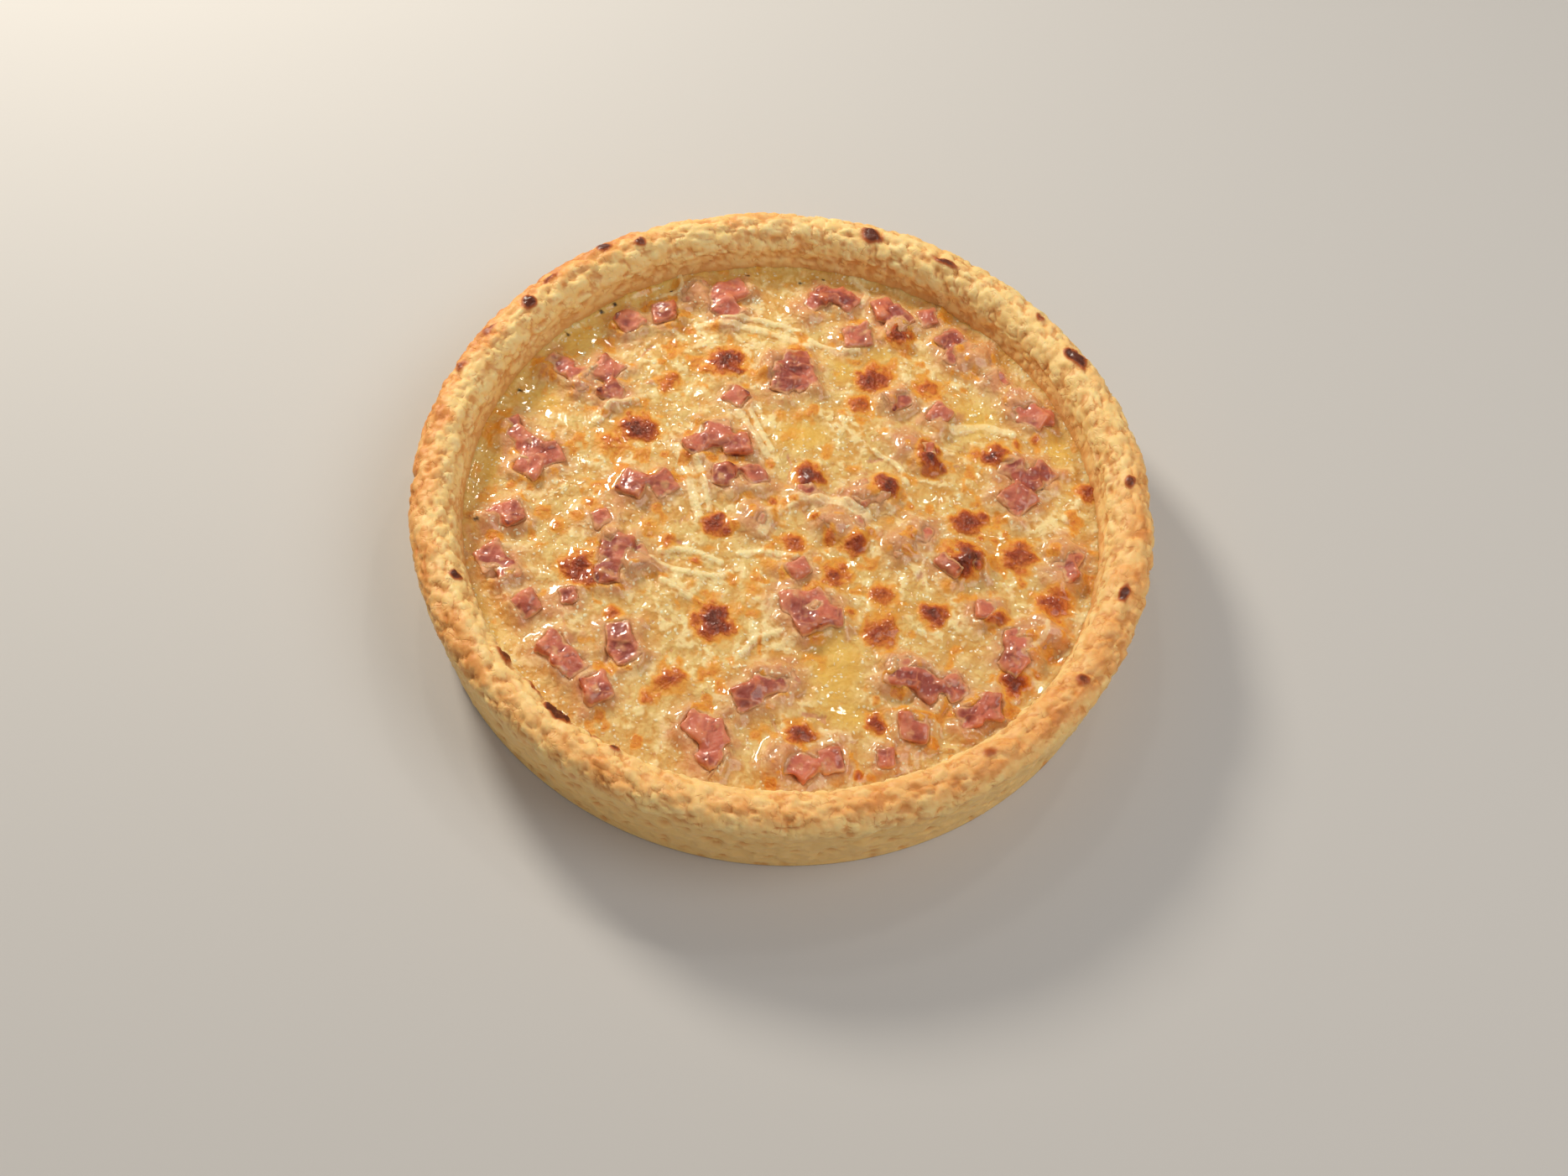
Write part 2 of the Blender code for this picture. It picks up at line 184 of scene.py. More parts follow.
class Wire:
    """A shader socket that takes part in sums, so that a mask reads as a formula."""

    tree = None

    def __init__(self, socket):
        self.socket = socket

    @classmethod
    def node(cls, kind, settings=None, **sockets):
        """Adds a node: its settings first, then the values or links of its sockets."""
        made = cls.tree.nodes.new(kind)
        for name, value in (settings or {}).items():
            setattr(made, name, value)
        return cls.feed(made, **sockets)

    @classmethod
    def feed(cls, made, **sockets):
        """Gives sockets their values or links: i0 is the first one, and Base_Color has that name."""
        for name, value in sockets.items():
            socket = made.inputs[int(name[1:]) if name[1:].isdigit() else name.replace("_", " ")]
            if isinstance(value, Wire):
                cls.tree.links.new(value.socket, socket)
            elif isinstance(value, tuple) and socket.type == "RGBA":
                socket.default_value = (*value, 1.0)
            else:
                socket.default_value = value
        return made

    @classmethod
    def maths(cls, operation, *values, clamp=False):
        settings = {"operation": operation, "use_clamp": clamp}
        made = cls.node("ShaderNodeMath", settings, **{f"i{at}": value for at, value in enumerate(values)})
        return cls(made.outputs[0])

    def __add__(self, other):
        return Wire.maths("ADD", self, other)

    def __sub__(self, other):
        return Wire.maths("SUBTRACT", self, other)

    def __rsub__(self, other):
        return Wire.maths("SUBTRACT", other, self)

    def __mul__(self, other):
        return Wire.maths("MULTIPLY", self, other)

    __radd__ = __add__
    __rmul__ = __mul__

    def step(self, low, high):
        """0 below low, 1 above high and a soft slope between."""
        settings = {"interpolation_type": "SMOOTHSTEP"}
        made = Wire.node("ShaderNodeMapRange", settings, Value=self, From_Min=low, From_Max=high)
        return Wire(made.outputs[0])

    def limit(self):
        """The same value, kept between 0 and 1."""
        return Wire.maths("MULTIPLY", self, 1.0, clamp=True)


def colour_mix(share, low, high, blend="MIX"):
    settings = {"data_type": "RGBA", "blend_type": blend, "clamp_factor": True}
    made = Wire.node("ShaderNodeMix", settings, i0=share, i6=low, i7=high)
    return Wire(made.outputs[2])


def noise_wire(place, size, detail=2.0, rough=0.5):
    """Soft noise from 0 to 1 whose lumps are about size metres across."""
    sockets = {"Vector": place, "Scale": 1.0 / size, "Detail": detail, "Roughness": rough}
    return Wire(Wire.node("ShaderNodeTexNoise", None, **sockets).outputs[0])


def cell_wire(place, size, feature="F1"):
    made = Wire.node("ShaderNodeTexVoronoi", {"feature": feature}, Vector=place, Scale=1.0 / size)
    return Wire(made.outputs["Distance"])


def stirred(place, size, amount):
    """The coordinates pushed about by soft noise, so that what is drawn on them is never regular."""
    push = Wire(Wire.node("ShaderNodeTexNoise", None, Vector=place, Scale=1.0 / size).outputs["Color"])
    settings = {"operation": "MULTIPLY_ADD"}
    made = Wire.node("ShaderNodeVectorMath", settings, i0=push, i1=(amount,) * 3, i2=place)
    return Wire(made.outputs[0])


def painted_wires(*names):
    """Values painted on the mesh's points."""
    for name in names:
        made = Wire.node("ShaderNodeAttribute", {"attribute_name": name, "attribute_type": "GEOMETRY"})
        yield Wire(made.outputs["Fac"])


def bump_wire(height, distance, strength=1.0, under=None):
    sockets = {"Height": height, "Distance": distance, "Strength": strength}
    if under is not None:
        sockets["Normal"] = under
    return Wire(Wire.node("ShaderNodeBump", None, **sockets).outputs[0])


def start_material(name):
    """A new material, with its shader and the object's own coordinates in metres."""
    made = bpy.data.materials.new(name)
    made.use_nodes = True
    Wire.tree = made.node_tree
    shader = made.node_tree.nodes["Principled BSDF"]
    place = Wire(Wire.node("ShaderNodeTexCoord").outputs["Object"])
    return made, shader, place


def srgb(*values):
    """A colour given as it looks on screen, 0 to 255, as the linear values that a shader takes."""
    shares = [value / 255 for value in values]
    return tuple(share / 12.92 if share <= 0.04045 else ((share + 0.055) / 1.055) ** 2.4 for share in shares)


# The in-between colours of the pastry, the cheese, the ham and the floor.
GOLDEN_DOUGH = srgb(252, 202, 120)
DOUGH_HIGHLIGHT = srgb(255, 228, 164)
RUSSET_DOUGH = srgb(188, 98, 38)
WALL_DOUGH = srgb(236, 186, 112)
SINGED_DOUGH = srgb(184, 92, 30)
CHEESE_HIGHLIGHT = srgb(255, 229, 166)
PALE_SHRED = srgb(255, 228, 172)
PAINTED_GLINT = srgb(255, 243, 206)
AMBER_CHEESE = srgb(236, 160, 36)
CHESTNUT_CHEESE = srgb(164, 64, 6)
PEPPER_GREY = srgb(52, 40, 26)
HAM_FIBRE = srgb(222, 146, 116)
HAM_RIM_AND_HIGHLIGHT = srgb(224, 142, 98)
SCORCHED_HAM = srgb(122, 44, 22)
CHEESE_FILM = srgb(228, 172, 118)
FLOOR_SHADE = srgb(196, 193, 190)

# Large odd numbers that scatter the whole numbers of a cell and a seed.
CELL_PRIMES = (73856093, 19349663, 83492791)
SEED_PRIME = 2654435761
SCATTER = 0x45D9F3B


def hashed(cell, seed):
    """A fixed random number from 0 to 1 for each whole-numbered cell."""
    x, y, z = (cell[..., axis] * prime for axis, prime in enumerate(CELL_PRIMES))
    mixed = x ^ y ^ z ^ (seed * SEED_PRIME)
    for _ in range(2):
        mixed = ((mixed ^ (mixed >> 16)) & 0xFFFFFFFF) * SCATTER & 0xFFFFFFFF
    return ((mixed ^ (mixed >> 16)) & 0xFFFFFF) / 0xFFFFFF


def soft_noise(points, spacing, seed, octaves=1):
    """Smooth noise from -1 to 1 at many points at once."""
    total, share, sum_of_shares = 0.0, 1.0, 0.0
    for octave in range(octaves):
        place = points / spacing * 2**octave
        home = np.floor(place)
        part = place - home
        part = part * part * part * (part * (part * 6 - 15) + 10)
        level = np.zeros(len(points))
        for corner in itertools.product((0, 1), repeat=3):
            weight = np.prod(np.where(corner, part, 1 - part), axis=1)
            level += weight * hashed((home + corner).astype(np.int64), seed + 31 * octave)
        total = total + share * (2 * level - 1)
        sum_of_shares += share
        share *= 0.5
    return total / sum_of_shares


def cell_noise(points, spacing, seed, flat=False):
    """Scattered seeds: the way from the nearest, how far it and the next are, and its random number."""
    place = points / spacing
    home = np.floor(place)
    near = np.full(len(points), 9.0)
    second = near.copy()
    mark = np.zeros(len(points))
    way = np.zeros((len(points), 3))
    for step in itertools.product((-1, 0, 1), (-1, 0, 1), (0,) if flat else (-1, 0, 1)):
        cell = (home + step).astype(np.int64)
        middle = cell + 0.05 + 0.9 * np.stack([hashed(cell, seed + axis) for axis in range(3)], axis=1)
        gap = place - middle
        if flat:
            gap[:, 2] = 0
        reach = np.linalg.norm(gap, axis=1)
        closer = reach < near
        second = np.where(closer, near, np.minimum(second, reach))
        mark = np.where(closer, hashed(cell, seed + 7), mark)
        way = np.where(closer[:, None], gap, way)
        near = np.where(closer, reach, near)
    return way, near, second, mark


def noise_push(points, spacing, seed, octaves=1, axes=3):
    """Smooth noise for each axis, to push coordinates about with."""
    return np.stack([soft_noise(points, spacing, seed + axis, octaves) for axis in range(axes)], axis=1)


def ease(value, low, high):
    """0 at low, 1 at high and a soft slope between. Low may be the larger one."""
    share = np.clip((value - low) / (high - low), 0, 1)
    return share * share * (3 - 2 * share)


def bell(value, width):
    """1 where the value is 0, falling away softly on both sides over about the width."""
    return np.exp(-((value / width) ** 2))


def mound_over(reach):
    """A round top: 1 in the middle and 0 from a reach of 1 on."""
    return 1 - np.clip(reach, 0, 1) ** 2


def away_from(points, x=0, y=0):
    """Each point's distance from a place, seen from above."""
    return np.hypot(points[:, 0] - x, points[:, 1] - y)


def bearing_of(points):
    return np.arctan2(points[:, 1], points[:, 0])


def facing(bearing, degrees):
    """1 on the side that has this bearing, and 0 on the side opposite."""
    return 0.5 + 0.5 * np.cos(bearing - math.radians(degrees))


def points_of(obj):
    """The mesh's points in millimetres."""
    flat = np.empty(3 * len(obj.data.vertices), np.float32)
    obj.data.vertices.foreach_get("co", flat)
    return flat.reshape(-1, 3).astype(float) / MM


def normals_of(obj):
    flat = np.empty(3 * len(obj.data.vertices), np.float32)
    obj.data.vertex_normals.foreach_get("vector", flat)
    return flat.reshape(-1, 3).astype(float)


def move_points(obj, points):
    obj.data.vertices.foreach_set("co", (points * MM).astype(np.float32).ravel())
    obj.data.update()


def paint(obj, name, values):
    layer = obj.data.attributes.new(name, "FLOAT", "POINT")
    layer.data.foreach_set("value", np.asarray(values, np.float32))


def neighbours_mean(obj, points, rounds=1):
    """Each point's mean over the points that it shares an edge with."""
    ends = np.empty(2 * len(obj.data.edges), np.int32)
    obj.data.edges.foreach_get("vertices", ends)
    ends = ends.reshape(-1, 2)
    count = np.bincount(ends.ravel(), minlength=len(points))[:, None]
    for _ in range(rounds):
        total = np.zeros_like(points)
        np.add.at(total, ends[:, 0], points[ends[:, 1]])
        np.add.at(total, ends[:, 1], points[ends[:, 0]])
        points = total / np.maximum(count, 1)
    return points


def start_fresh(context):
    """Deselects everything, because an operator acts on all that is selected."""
    bpy.ops.object.select_all(action="DESELECT")
    context.view_layer.objects.active = None


def select_points(obj, wanted):
    """Selects, in edit mode, the points that the test picks."""
    bpy.ops.mesh.select_all(action="DESELECT")
    bpy.ops.object.mode_set(mode="OBJECT")
    for vert in obj.data.vertices:
        vert.select = bool(wanted(vert.co))
    bpy.ops.object.mode_set(mode="EDIT")


def extrude(*shift):
    bpy.ops.mesh.extrude_region_move(TRANSFORM_OT_translate={"value": shift})


def face_outwards():
    """Points every face outwards, and leaves edit mode."""
    bpy.ops.mesh.select_all(action="SELECT")
    bpy.ops.mesh.normals_make_consistent(inside=False)
    bpy.ops.object.mode_set(mode="OBJECT")


def finish_piece(piece, name, material, slot, *nodes):
    """Names a piece, gives it its material, and says what it rides on and which nodes it stands in for."""
    piece.name = piece.data.name = name
    piece.data.materials.clear()
    piece.data.materials.append(material)
    piece.data.shade_smooth()
    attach(piece, "root")
    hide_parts(*nodes)


def measure(name, description, default):
    return FloatProperty(name=name, description=description, default=default, unit="LENGTH")


def angle(name, description, degrees):
    return FloatProperty(name=name, description=description, subtype="ANGLE", default=math.radians(degrees))


def tint(name, description, *values):
    """A colour that a user can change. Its default is given as it looks on screen, 0 to 255."""
    return FloatVectorProperty(name=name, description=description, subtype="COLOR", default=srgb(*values))


class QuicheCrustSettings(bpy.types.PropertyGroup):
    rim_radius: measure("Rim radius", "Outside of the rim", 0.1201)
    height: measure("Height", "Top of the rim", 0.0360)
    rim_width: measure("Rim width", "Thickness of the rolled rim", 0.0145)
    rim_roll: measure("Rim roll", "Height of the rounded part", 0.0075)
    foot_radius: measure("Foot radius", "Outside at the base", 0.1168)
    turns: IntProperty(name="Steps", description="Steps round the case", default=1040, min=64)
    grain: measure("Grain", "Distance between points", 0.00070)
    lumps: FloatProperty(name="Lumps", description="Strength of the relief", default=1.0, subtype="FACTOR")
    dough: tint("Dough", "Pale baked dough", 255, 216, 142)
    ochre_shade: tint("Ochre", "Deep creases", 212, 128, 46)
    toast: tint("Toast", "Toasted edge", 236, 154, 70)
    burnt: tint("Burnt", "Burnt spots", 96, 38, 14)


class QuicheFillingSettings(bpy.types.PropertyGroup):
    radius: measure("Radius", "Edge of the filling", 0.1053)
    level: measure("Level", "Height at the edge", 0.0208)
    dome: measure("Dome", "Rise at the middle", 0.0016)
    bottom: measure("Bottom", "Underside of the custard", 0.0055)
    grid: IntProperty(name="Grid", description="Faces across", default=300, min=32)
    cream: tint("Cream", "Pale cheese", 232, 198, 120)
    gold: tint("Gold", "Warm cheese", 216, 150, 44)
    yellow: tint("Yellow", "Bare custard", 236, 190, 78)
    blush: tint("Blush", "Cheese beside ham", 216, 148, 100)
    orange: tint("Orange", "Browned cheese", 214, 114, 8)
    brown: tint("Brown", "Dark blisters", 112, 40, 8)


class QuicheHamSettings(bpy.types.PropertyGroup):
    voxel: measure("Voxel", "Detail of each piece", 0.00055)
    pink: tint("Pink", "Cut faces", 204, 108, 80)
    mauve: tint("Mauve", "Deep faces", 154, 64, 46)
    crisp: tint("Crisp", "Browned edges", 192, 92, 44)


class QuicheStageSettings(bpy.types.PropertyGroup):
    lens: FloatProperty(name="Lens", description="Focal length in millimetres", default=40.45)
    distance: measure("Distance", "Camera to the point it looks at", 0.5902)
    pitch: angle("Pitch", "Below the horizon", 58.66)
    roll: angle("Roll", "Turn about the view", 6.85)
    target: FloatVectorProperty(
        name="Target",
        description="The point looked at",
        subtype="TRANSLATION",
        default=(0.00324, -0.0172, 0.0),
    )
    floor: tint("Floor", "Floor colour", 204, 201, 198)


def pastry_material(look):
    made, shader, place = start_material("baked_pastry")
    toast, crease_shade, burn, face, pale = painted_wires("toast", "crease_shade", "burn", "face", "pale")
    mottle = noise_wire(place, 0.007, 3.0)
    speck = noise_wire(place, 0.0016)
    stir = stirred(place, 0.003, 0.0022)
    edges = cell_wire(stir, 0.0026, "DISTANCE_TO_EDGE")
    slits = (1.0 - edges.step(0.02, 0.11)) * noise_wire(place, 0.0036).step(0.5, 0.64) * (1.0 - 0.7 * face)
    colour = colour_mix(mottle.step(0.35, 0.7) * 0.3, tuple(look.dough), GOLDEN_DOUGH)
    # Painted highlight: the raised flakes are painted paler.
    colour = colour_mix(pale * 0.75, colour, DOUGH_HIGHLIGHT)
    toasting = toast + (mottle - 0.5) * 0.5 + (speck - 0.5) * 0.3
    colour = colour_mix(toasting.step(0.05, 0.8) * 0.85, colour, tuple(look.toast))
    colour = colour_mix(toasting.step(0.55, 1.2) * 0.8, colour, RUSSET_DOUGH)
    colour = colour_mix(face * 0.5, colour, WALL_DOUGH)
    # Painted shade in the cracks, slits and pits, with the dough's own ochre there.
    deep = (crease_shade + slits * 0.4).limit()
    colour = colour_mix(deep.step(0.15, 1.0) * 0.65, colour, tuple(look.ochre_shade))
    singe = (burn + (speck - 0.5) * 0.5 * burn).limit()
    colour = colour_mix(singe.step(0.05, 0.5), colour, SINGED_DOUGH)
    colour = colour_mix(singe.step(0.4, 0.85), colour, tuple(look.burnt))
    crumb = bump_wire(noise_wire(place, 0.0014), 0.0003, 0.4)
    crumb = bump_wire(cell_wire(stir, 0.0026) * -1.0 - slits * 0.8, 0.0003, 0.5, crumb)
    Wire.feed(
        shader,
        Base_Color=colour,
        Roughness=0.5 - 0.2 * singe.step(0.3, 0.8) + 0.12 * speck,
        Normal=crumb,
        Subsurface_Weight=0.22,
        Subsurface_Radius=(1.0, 0.5, 0.2),
        Subsurface_Scale=0.003,
        Specular_IOR_Level=0.5,
    )
    return made


def cheese_material(look):
    made, shader, place = start_material("melted_cheese")
    brown, yellow, near_ham = painted_wires("brown", "yellow", "near_ham")
    crease_shade, speck, pale = painted_wires("crease_shade", "speck", "pale")
    broad = noise_wire(place, 0.022, 3.0)
    patch = noise_wire(place, 0.006, 3.0)
    fine = noise_wire(place, 0.0018, 3.0)
    stir = stirred(place, 0.004, 0.003)
    gel = noise_wire(stir, 0.0024, 1.0, 0.4)
    warmth = (broad * 0.4 + patch * 0.7).step(0.46, 0.7) * 0.75
    colour = colour_mix(warmth, tuple(look.cream), tuple(look.gold))
    # Painted highlight: the raised tops and the crests of the fine bumps are painted paler.
    lit = (pale + (gel - 0.5) * 2.2 + (broad - 0.5) * 0.6).limit()
    colour = colour_mix(lit.step(0.35, 1.0) * 0.85, colour, CHEESE_HIGHLIGHT)
    # Painted shade: the seams between grains and the hollows of the fine bumps are painted gold.
    colour = colour_mix((crease_shade * 0.7 - (gel - 0.5) * 2.4).step(0.1, 0.9) * 0.7, colour, tuple(look.gold))
    colour = colour_mix(yellow * 0.7, colour, tuple(look.yellow))
    colour = colour_mix(near_ham * (0.45 + patch * 0.8), colour, tuple(look.blush))
    colour = colour_mix((pale - 1.0).step(0.0, 0.6) * 0.55, colour, PALE_SHRED)
    # Painted glints: tiny near-white specks scattered over the cheese, also raised a little in the bump.
    glint_specks = (0.34 - cell_wire(stir, 0.0018)).step(0.0, 0.16) * noise_wire(place, 0.004).step(0.4, 0.56)
    colour = colour_mix(glint_specks * 0.8, colour, PAINTED_GLINT)
    toasting = (brown + (fine - 0.5) * 0.4 * brown.step(0.03, 0.5) + (patch - 0.5) * 0.12).limit()
    colour = colour_mix(toasting.step(0.06, 0.3) * 0.9, colour, AMBER_CHEESE)
    colour = colour_mix(toasting.step(0.26, 0.5), colour, tuple(look.orange))
    colour = colour_mix(toasting.step(0.46, 0.74), colour, CHESTNUT_CHEESE)
    colour = colour_mix(toasting.step(0.74, 1.0), colour, tuple(look.brown))
    colour = colour_mix(speck, colour, PEPPER_GREY)
    wet = (0.5 + 0.5 * patch) * (1.0 - toasting.step(0.4, 0.8) * 0.6) * (1.0 - speck)
    grain = bump_wire(gel, 0.0006, 0.75)
    grain = bump_wire(noise_wire(stir, 0.0012, 1.0, 0.4) + glint_specks * 0.6, 0.0003, 0.8, grain)
    grain = bump_wire(cell_wire(stir, 0.0015) * toasting.step(0.25, 0.6), 0.0008, 0.8, grain)
    Wire.feed(
        shader,
        Base_Color=colour,
        Roughness=0.5 + 0.2 * fine + 0.2 * speck,
        Coat_Weight=wet.limit(),
        Normal=grain,
        Coat_Roughness=0.05,
        Subsurface_Weight=0.6,
        Subsurface_Radius=(1.0, 0.85, 0.6),
        Subsurface_Scale=0.003,
    )
    return made


def ham_material(look):
    made, shader, place = start_material("cooked_ham")
    edge, crust, film, tone_and_shade = painted_wires("edge", "crisp", "film", "tone_and_shade")
    patch = noise_wire(place, 0.005, 3.0)
    fibre = noise_wire(place, 0.0014, 3.0, 0.6)
    gel = noise_wire(stirred(place, 0.004, 0.003), 0.0026, 1.0, 0.4)
    # Painted light and shade in the tone: faces that look up go pink, the sides mauve; the rest is the meat's
    # own tone.
    colour = colour_mix((tone_and_shade + (patch - 0.5) * 0.7).step(0.1, 0.9), tuple(look.mauve), tuple(look.pink))
    colour = colour_mix((fibre - 0.5).step(0.05, 0.3) * 0.3, colour, HAM_FIBRE)
    # Lighter orange along the rounded edges: partly the cooked rim, partly painted highlight.
    colour = colour_mix((edge + (patch - 0.5) * 0.4).step(0.15, 0.8) * 0.6, colour, HAM_RIM_AND_HIGHLIGHT)
    browning = (crust + (patch - 0.5) * 0.5 * crust).limit()
    colour = colour_mix(browning.step(0.2, 0.7), colour, tuple(look.crisp))
    colour = colour_mix(browning.step(0.6, 1.0), colour, SCORCHED_HAM)
    colour = colour_mix((film + (gel - 0.5) * 1.2).step(0.2, 0.9) * 0.8, colour, CHEESE_FILM)
    grain = bump_wire(gel, 0.0007, 0.8)
    grain = bump_wire(noise_wire(place, 0.0014), 0.0003, 0.6, grain)
    Wire.feed(
        shader,
        Base_Color=colour,
        Roughness=0.45 + 0.2 * fibre,
        Coat_Weight=0.4 + 0.6 * patch,
        Normal=grain,
        Coat_Roughness=0.06,
        Subsurface_Weight=0.4,
        Subsurface_Radius=(1.0, 0.35, 0.25),
        Subsurface_Scale=0.0025,
    )
    return made


def spun_case(context, look):
    """The case's half section, made from a circle for the rim and drawn down both walls, then turned."""
    middle = look.rim_radius - look.rim_width / 2
    rim_foot = look.height - look.rim_roll
    around = 4 * round(math.pi * look.rim_width / 4 / look.grain)
    upright = (math.pi / 2, 0, 0)
    bpy.ops.mesh.primitive_circle_add(
        vertices=around, radius=look.rim_width / 2, location=(middle, 0, rim_foot), rotation=upright
    )
    case = context.object
    bpy.ops.object.transform_apply(location=True, rotation=True)
    bpy.ops.object.mode_set(mode="EDIT")
    select_points(case, lambda co: co.z < rim_foot - TOUCHING)
    bpy.ops.mesh.delete(type="VERT")
    steps = round(rim_foot / look.grain)
    select_points(case, lambda co: co.x > look.rim_radius - TOUCHING)
    for _ in range(steps):
        extrude((look.foot_radius - look.rim_radius) / steps, 0, -rim_foot / steps)
    select_points(case, lambda co: co.x < look.rim_radius - look.rim_width + TOUCHING)
    for _ in range(INNER_STEPS):
        extrude(-INNER_LEAN, 0, -look.grain)
    extrude(-FLOOR_INSET, 0, CASE_FLOOR - rim_foot + INNER_STEPS * look.grain)
    bpy.ops.object.mode_set(mode="OBJECT")
    turn = case.modifiers.new("Turn", "SCREW")
    turn.steps = turn.render_steps = look.turns
    turn.use_merge_vertices = True
    turn.merge_threshold = TOUCHING
    bpy.ops.object.modifier_apply(modifier=turn.name)
    bpy.ops.object.mode_set(mode="EDIT")
    for height in (0.0, CASE_FLOOR):
        select_points(case, lambda co: abs(co.z - height) < 0.00005)
        bpy.ops.mesh.edge_face_add()
    face_outwards()
    return case


def around_rim(points, stretch, section):
    """Coordinates that run round the case without a seam, drawn out along it by a factor."""
    bearing = bearing_of(points)
    ring = WALL_RADIUS / stretch
    return np.stack([ring * np.cos(bearing), ring * np.sin(bearing), section], axis=1)


def along_rim(points):
    """Distance round the case, as a wave that meets itself."""
    return 6 * np.sin(19 * bearing_of(points))


def rim_spot(points, bearing, radius, length, width):
    """How near each point is to the middle of a spot on the rim: 1 in the middle, 0 at its ragged edge."""
    angle = math.radians(bearing)
    out = points[:, 0] * math.cos(angle) + points[:, 1] * math.sin(angle) - radius
    along = -points[:, 0] * math.sin(angle) + points[:, 1] * math.cos(angle)
    reach = np.sqrt((out / (width / 2)) ** 2 + (along / (length / 2)) ** 2)
    return np.where(out > -60, 1 - reach, -9)


class QUICHE_OT_crust(bpy.types.Operator):
    """Spins the pastry case and gives it its pebbled, toasted surface"""

    bl_idname = "quiche.crust"
    bl_label = "Pastry case"
    bl_options = {"REGISTER", "UNDO"}

    def execute(self, context):
        look = context.scene.quiche_crust
        start_fresh(context)
        case = spun_case(context, look)
        points = points_of(case)
        rim_foot = (look.height - look.rim_roll) / MM
        radius = away_from(points)
        outward = points[:, :2] / np.maximum(radius, 1)[:, None]
        middle = (look.rim_radius - look.rim_width / 2) / MM
        half = look.rim_width / 2 / MM
        across = np.clip((radius - middle) / half, -1, 1)
        # The rim is fuller outside than inside.
        on_rim = points[:, 2] > rim_foot + 0.001
        arch = np.sqrt(np.maximum(0, 1 - across**2))
        power = 1.0 - 0.35 * across
        points[on_rim, 2] = rim_foot + look.rim_roll / MM * (arch**power)[on_rim]
        move_points(case, points)
        normals = normals_of(case)
        outside = radius > middle
        # Length along the section: 0 at the rim's top, growing down the outside and falling down the inside.
        climb = rim_foot - points[:, 2]
        walls = np.where(outside, climb + RIM_SECTION, -climb - RIM_SECTION)
        section = np.where(on_rim, half * np.arcsin(across), walls)
        top = np.where(outside, ease(section, 15, 7), ease(section, -20, -9))
        outer_wall = ease(section, 9, 15)
        flat = (points[:, 2] < 0.5) | ((radius < 104.2) & (points[:, 2] < 12))

        bearing = bearing_of(points)
        one_side = facing(bearing, 160) ** 2
        other_side = facing(bearing, -20) ** 3
        warp = noise_push(points, 9, 40, 2)
        stir = noise_push(points, 3.1, 44)
        broad = soft_noise(points, 13, 17, 2)
        fine = soft_noise(points, 1.5, 19, 2)
        # The toasted skin laps over the pale inside along a torn, scalloped edge.
        torn = 1.4 - 2.4 * one_side + other_side + 2.6 * soft_noise(points, 9, 50, 2) + 1.5 * stir[:, 0]
        torn += 0.8 * fine
        lap = ease(section, torn - 0.7, torn + 0.7) * ease(section, 14, 9)
        slit = bell(section - torn + 0.55, 0.5) * ease(soft_noise(points, 4, 52), 0.0, 0.4)
        scaly = (0.3 + 0.7 * ease(section, 16, 9)) * (0.6 + 0.4 * ease(section, -17, -8))

        def scales(stretch, spacing, seed):
            """Flakes that each lean their own way, with a crack down some of the edges between them."""
            place = around_rim(points, stretch, section) + 1.4 * warp + 0.7 * stir
            way, near, second, mark = cell_noise(place, spacing, seed)
            along = way[:, 1] * np.cos(bearing) - way[:, 0] * np.sin(bearing)
            lean = along * np.cos(40 * mark) + way[:, 2] * np.sin(40 * mark) + 0.8 * (mark - 0.5)
            open_here = ease(soft_noise(points, 3.4, seed + 1), -0.25, 0.25)
            return mound_over(near * 1.15), lean, bell((second - near) * spacing, 0.8) * open_here, mark

        mound, lean, crack, mark = scales(1.5, 3.6, 3)
        mound2, lean2, crack2, _ = scales(1.2, 2.2, 9)
        drawn_out = around_rim(points, 3.5, section + 0.4 * along_rim(points))
        wrinkle = soft_noise(drawn_out + 0.6 * warp, 1.5, 12, 2)
        _, pit_near, _, pit_mark = cell_noise(around_rim(points, 1.4, section) + 0.5 * warp, 3.3, 15)
        pit = np.where(pit_mark > 0.5, bell(pit_near, 0.4 * pit_mark + 0.1 * outer_wall), 0)

        relief = 0.6 * broad * (0.35 + 0.65 * top) + 0.28 * lap - 0.3 * slit
        relief += scaly * (0.75 * mound + 0.35 * lean - 0.6 * crack)
        relief += scaly * (0.24 * mound2 + 0.12 * lean2 - 0.26 * crack2)
        relief += 0.12 * wrinkle * scaly + 0.9 * outer_wall * soft_noise(points * (1, 1, 0.8), 4, 54, 2)
        relief -= (0.6 + 0.6 * outer_wall) * pit
        relief += 0.08 * fine

        burn = np.zeros(len(points))
        for turn, distance, length, width, dark in RIM_SPOTS:
            close = rim_spot(points + 0.9 * warp, turn, distance, 1.25 * length, 1.25 * width)
            close = np.where(section < 16, close, -9) + 0.3 * stir[:, 1]
            burn = np.maximum(burn, dark * ease(close, -0.2, 0.8))
            relief += 0.6 * min(1, dark + 0.3) * ease(close, 0.0, 0.6)
        relief = (relief - 0.4) * look.lumps

        # The inside wall swells over the edge of the filling.
        near_filling = ease(points[:, 2], 25, 20) * (radius < 109)
        rise = 0.7 * soft_noise(points * (1, 1, 0), 42, 21) * np.clip(points[:, 2] / 30, 0, 1)
        still = np.where(flat, 0, 1) * ease(points[:, 2], 0.3, 2.5)
        points += normals * (relief * still * (1 - 0.6 * near_filling))[:, None]
        points[:, 2] += rise * still
        swell = bell(points[:, 2] - 20.5, 4.0) * (radius < 108)
        points[:, :2] -= outward * swell[:, None]
        low, high = (np.array(corner) / MM for corner in CAD_BOX)
        points = np.clip(points, low + 0.02, high - 0.02)
        move_points(case, points)

